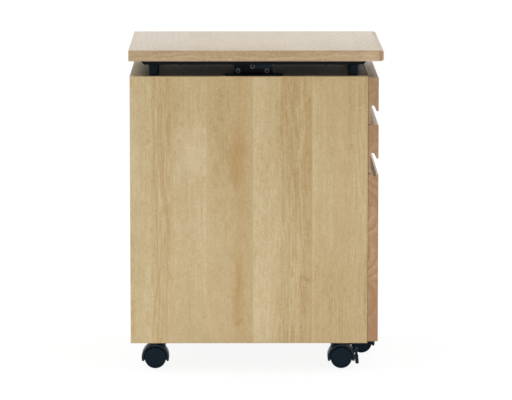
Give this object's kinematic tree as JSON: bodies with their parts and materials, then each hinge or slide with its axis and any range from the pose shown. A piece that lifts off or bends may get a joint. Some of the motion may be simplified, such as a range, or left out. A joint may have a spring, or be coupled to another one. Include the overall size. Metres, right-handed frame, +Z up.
{
  "type": "mobile drawer pedestal",
  "caption": "Mobile drawer pedestal: veneered cabinet, finger-groove drawer fronts, lift-up top on a crossed-arm mechanism, hooded twin-wheel casters.",
  "frame": {"origin": "on the floor below the middle of the top board", "axes": "+X towards the drawer fronts, +Y to the right of a person facing them, +Z up"},
  "size_m": [0.45, 0.4, 0.572],
  "materials": {
    "cabinet_veneer": "satin",
    "top_veneer": "satin",
    "solid_wood": "satin",
    "drawer_board": "satin",
    "slide_steel": "zinc plated",
    "black_steel": "powder coat",
    "black_plastic": "moulded",
    "wheel_plastic": "moulded"
  },
  "bodies": {
    "cabinet": {"left_side_panel": "cabinet_veneer", "right_side_panel": "cabinet_veneer", "back_panel": "cabinet_veneer", "bottom_panel": "cabinet_veneer", "cabinet_top": "cabinet_veneer", "top_drawer_fixed_rails": "slide_steel", "middle_drawer_fixed_rails": "slide_steel", "bottom_drawer_fixed_rails": "slide_steel", "lift_base": "black_steel", "lift_base_screws": "slide_steel", "base_pivot_pins": "slide_steel", "latch_plate": "black_steel", "latch_screws": "black_steel", "caster_stems": "slide_steel"},
    "bottom_slide_middle": {"bottom_drawer_middle_rails": "slide_steel"},
    "outer_arms": {"outer_arms": "black_steel", "centre_pins": "slide_steel", "upper_slide_rod": "slide_steel"},
    "inner_arms": {"inner_arms": "black_steel", "lower_slide_rod": "slide_steel"},
    "lift_top": {"top_board": "top_veneer", "top_lipping": "solid_wood", "top_channel": "black_steel", "left_frame_bar": "black_steel", "right_frame_bar": "black_steel", "top_pivot_pins": "slide_steel", "rest_feet": "black_plastic"},
    "lock_lever": {"lock_lever": "black_steel", "lock_shaft": "slide_steel"},
    "top_drawer": {"top_drawer_front": "solid_wood", "top_drawer_left_side": "drawer_board", "top_drawer_right_side": "drawer_board", "top_drawer_back": "drawer_board", "top_drawer_bottom": "drawer_board", "top_drawer_runners": "slide_steel"},
    "middle_drawer": {"middle_drawer_front": "solid_wood", "middle_drawer_left_side": "drawer_board", "middle_drawer_right_side": "drawer_board", "middle_drawer_back": "drawer_board", "middle_drawer_bottom": "drawer_board", "middle_drawer_runners": "slide_steel"},
    "bottom_drawer": {"bottom_drawer_front": "solid_wood", "bottom_drawer_left_side": "drawer_board", "bottom_drawer_right_side": "drawer_board", "bottom_drawer_back": "drawer_board", "bottom_drawer_bottom": "drawer_board", "bottom_drawer_runners": "slide_steel", "drawer_caster_stem": "slide_steel"},
    "rear_left_caster": {"rear_left_caster_hood": "black_plastic"},
    "rear_left_wheels": {"rear_left_caster_wheels": "wheel_plastic"},
    "rear_right_caster": {"rear_right_caster_hood": "black_plastic"},
    "rear_right_wheels": {"rear_right_caster_wheels": "wheel_plastic"},
    "front_left_caster": {"front_left_caster_hood": "black_plastic"},
    "front_left_wheels": {"front_left_caster_wheels": "wheel_plastic"},
    "front_left_brake": {"front_left_brake_lever": "black_plastic"},
    "front_right_caster": {"front_right_caster_hood": "black_plastic"},
    "front_right_wheels": {"front_right_caster_wheels": "wheel_plastic"},
    "front_right_brake": {"front_right_brake_lever": "black_plastic"},
    "drawer_caster": {"drawer_caster_hood": "black_plastic"},
    "drawer_wheels": {"drawer_caster_wheels": "wheel_plastic"}
  },
  "joints": [
    {"name": "top_drawer_slide", "type": "slide", "parent": "cabinet", "child": "top_drawer", "axis": [1, 0, 0], "range_m": [0, 0.28]},
    {"name": "middle_drawer_slide", "type": "slide", "parent": "cabinet", "child": "middle_drawer", "axis": [1, 0, 0], "range_m": [0, 0.28]},
    {"name": "bottom_drawer_slide", "type": "slide", "parent": "cabinet", "child": "bottom_drawer", "axis": [1, 0, 0], "range_m": [0, 0.36]},
    {"name": "bottom_slide_extension", "type": "slide", "parent": "cabinet", "child": "bottom_slide_middle", "axis": [1, 0, 0], "range_m": [0, 0.18]},
    {"name": "lift_raise", "type": "hinge", "parent": "cabinet", "child": "outer_arms", "pos_m": [-0.0045, 0.145, 0.533], "axis": [-1, 0, 0], "range_deg": [0, 30]},
    {"name": "lift_cross", "type": "hinge", "parent": "outer_arms", "child": "inner_arms", "pos_m": [-0.0045, 0, 0.5395], "axis": [-1, 0, 0], "range_deg": [-60, 0]},
    {"name": "lift_level", "type": "hinge", "parent": "inner_arms", "child": "lift_top", "pos_m": [-0.0045, 0.145, 0.546], "axis": [-1, 0, 0], "range_deg": [0, 30]},
    {"name": "lock_lever_turn", "type": "hinge", "parent": "cabinet", "child": "lock_lever", "pos_m": [-0.0065, -0.15, 0.5405], "axis": [0, 1, 0], "range_deg": [0, 12]},
    {"name": "rear_left_caster_swivel", "type": "hinge", "parent": "cabinet", "child": "rear_left_caster", "pos_m": [-0.168, -0.154, 0.04], "axis": [0, 0, 1], "continuous": true},
    {"name": "rear_left_wheels_roll", "type": "hinge", "parent": "rear_left_caster", "child": "rear_left_wheels", "pos_m": [-0.18, -0.154, 0.0192], "axis": [0, 1, 0], "continuous": true},
    {"name": "rear_right_caster_swivel", "type": "hinge", "parent": "cabinet", "child": "rear_right_caster", "pos_m": [-0.168, 0.154, 0.04], "axis": [0, 0, 1], "continuous": true},
    {"name": "rear_right_wheels_roll", "type": "hinge", "parent": "rear_right_caster", "child": "rear_right_wheels", "pos_m": [-0.18, 0.154, 0.0192], "axis": [0, 1, 0], "continuous": true},
    {"name": "front_left_caster_swivel", "type": "hinge", "parent": "cabinet", "child": "front_left_caster", "pos_m": [0.14, -0.154, 0.04], "axis": [0, 0, 1], "continuous": true},
    {"name": "front_left_wheels_roll", "type": "hinge", "parent": "front_left_caster", "child": "front_left_wheels", "pos_m": [0.152, -0.154, 0.0192], "axis": [0, 1, 0], "continuous": true},
    {"name": "front_left_brake_turn", "type": "hinge", "parent": "front_left_caster", "child": "front_left_brake", "pos_m": [0.17858, -0.154, 0.03104], "axis": [0, -1, 0], "range_deg": [0, 30]},
    {"name": "front_right_caster_swivel", "type": "hinge", "parent": "cabinet", "child": "front_right_caster", "pos_m": [0.14, 0.154, 0.04], "axis": [0, 0, 1], "continuous": true},
    {"name": "front_right_wheels_roll", "type": "hinge", "parent": "front_right_caster", "child": "front_right_wheels", "pos_m": [0.152, 0.154, 0.0192], "axis": [0, 1, 0], "continuous": true},
    {"name": "front_right_brake_turn", "type": "hinge", "parent": "front_right_caster", "child": "front_right_brake", "pos_m": [0.17858, 0.154, 0.03104], "axis": [0, -1, 0], "range_deg": [0, 30]},
    {"name": "drawer_caster_swivel", "type": "hinge", "parent": "bottom_drawer", "child": "drawer_caster", "pos_m": [0.205, 0, 0.04], "axis": [0, 0, 1], "continuous": true},
    {"name": "drawer_wheels_roll", "type": "hinge", "parent": "drawer_caster", "child": "drawer_wheels", "pos_m": [0.193, 0, 0.0202], "axis": [0, 1, 0], "continuous": true}
  ],
  "couplings": [
    {"joint": "bottom_slide_extension", "follows": "bottom_drawer_slide", "ratio": 0.5},
    {"joint": "lift_cross", "follows": "lift_raise", "ratio": -2},
    {"joint": "lift_level", "follows": "lift_raise", "ratio": 1}
  ]
}
